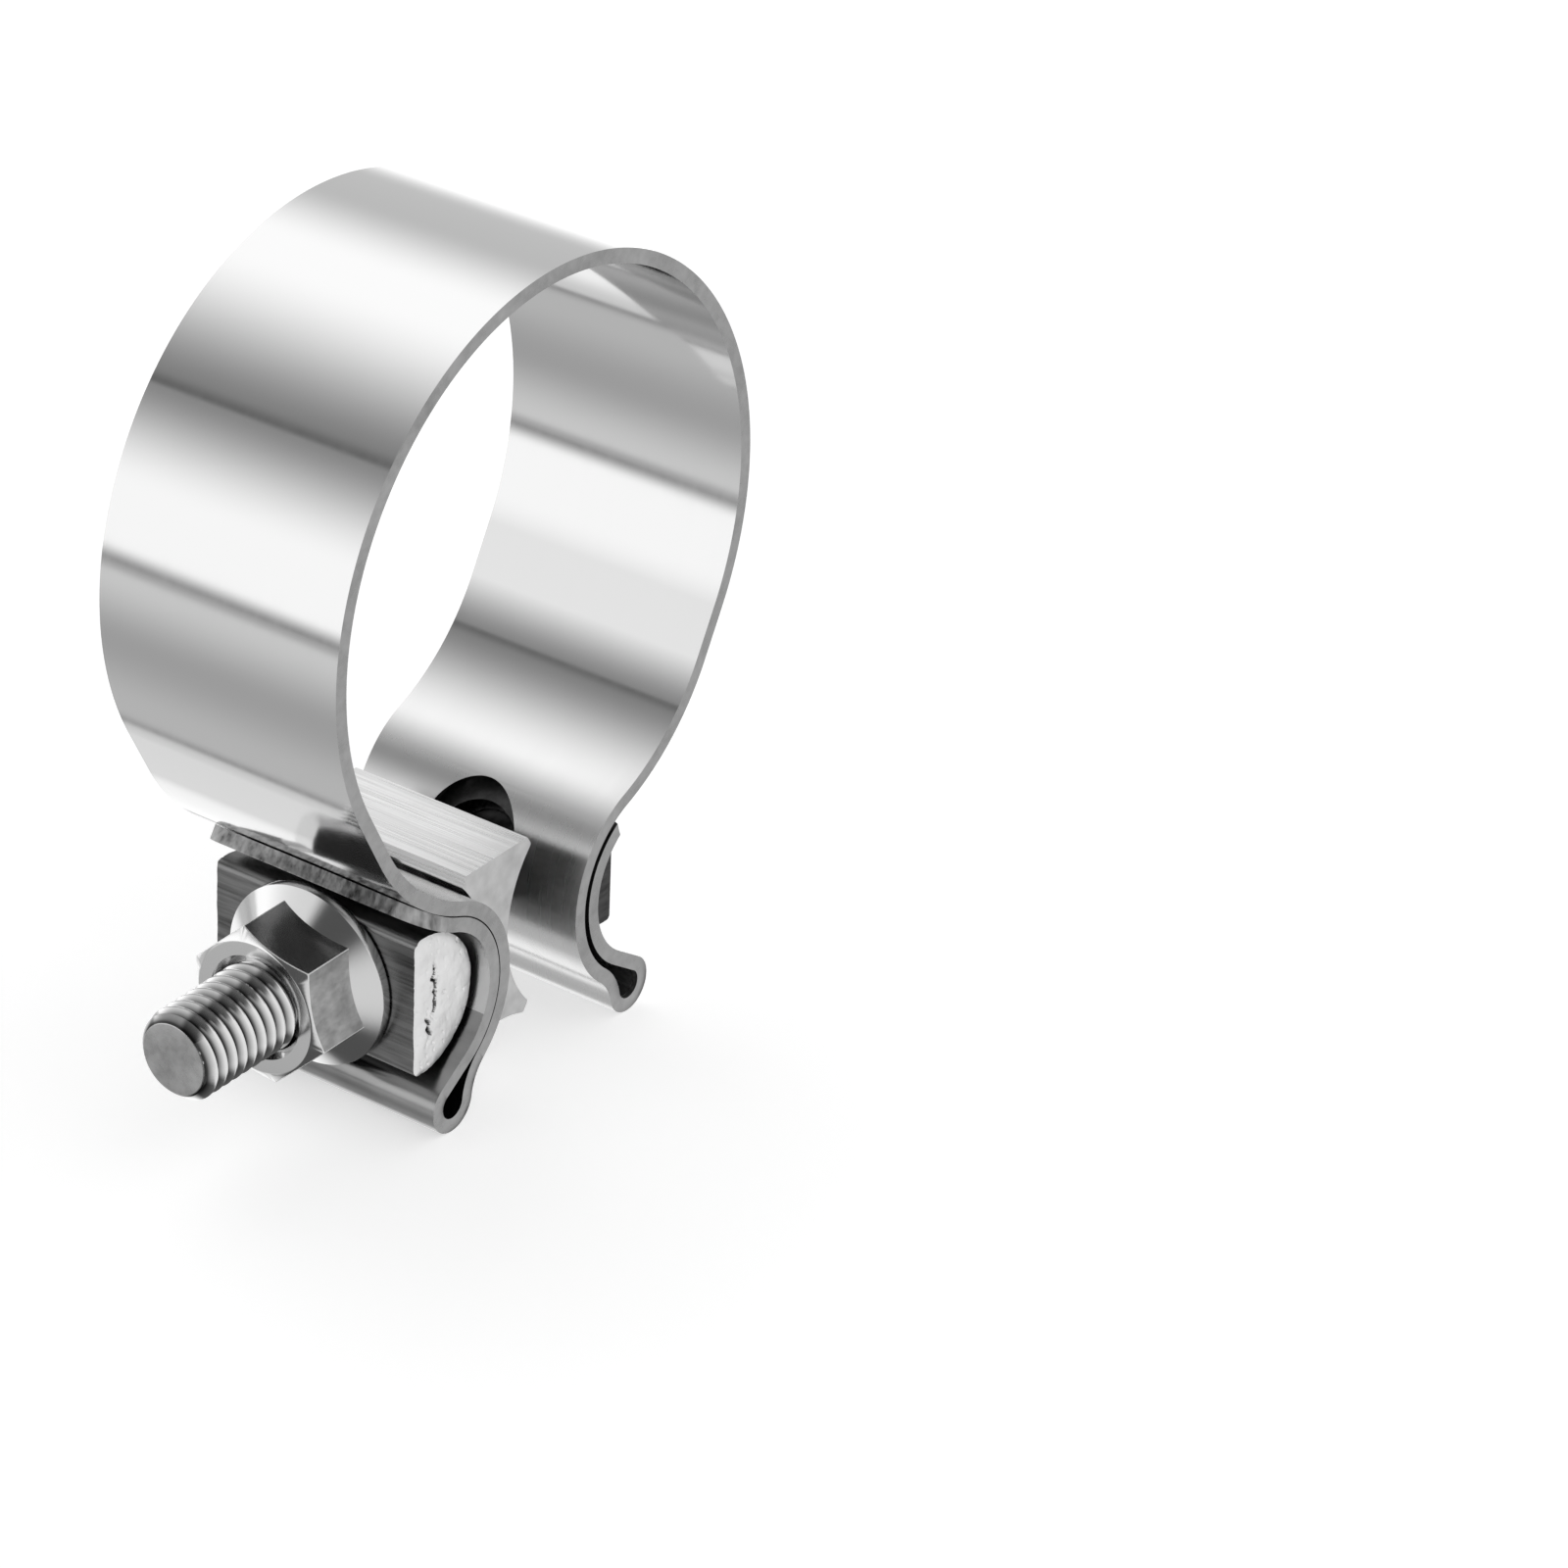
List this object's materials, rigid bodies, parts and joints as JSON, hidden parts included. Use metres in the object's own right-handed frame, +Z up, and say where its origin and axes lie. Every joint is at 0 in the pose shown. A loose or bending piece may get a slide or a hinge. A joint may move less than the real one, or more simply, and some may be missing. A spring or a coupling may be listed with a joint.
{
  "type": "t-bolt band clamp",
  "caption": "Single-bolt steel band clamp: one folded strip with channelled flanges, T-bolt, half-round spacer, reaction block and flange nut.",
  "frame": {"origin": "centre of the ring's bore at the middle of the strip's width", "axes": "+X along the bolt towards its head, +Y along the pipe, +Z up from the bolt to the ring"},
  "size_m": [0.0751, 0.03, 0.0929],
  "materials": {
    "polished_band": "mirror-polished stainless strip with duller sheared edges",
    "bar_steel": "dark brushed flat face with rough sawn pale ends",
    "block_steel": "pale steel brushed along its length, grey sawn ends",
    "bolt_steel": "bright rolled thread",
    "nut_steel": "polished flange and hexagon with one duller flat"
  },
  "bodies": {
    "clamp_band": {"band": "polished_band", "spacer_bar": "bar_steel"},
    "nut": {"flange_nut": "nut_steel"},
    "bolt": {"t_bolt": "bolt_steel"},
    "block": {"reaction_block": "block_steel"}
  },
  "joints": [
    {"name": "bolt_slide", "type": "slide", "parent": "clamp_band", "child": "bolt", "axis": [1, 0, 0], "range_m": [0, 0.01238]},
    {"name": "nut_turn", "type": "hinge", "parent": "clamp_band", "child": "nut", "pos_m": [-0.02, 0, -0.0432], "axis": [-1, 0, 0], "range_deg": [0, 2972]},
    {"name": "block_slide", "type": "slide", "parent": "clamp_band", "child": "block", "axis": [1, 0, 0], "range_m": [0, 0.0068]}
  ],
  "couplings": [
    {"joint": "nut_turn", "follows": "bolt_slide", "rad_per_m": 4188.8}
  ]
}
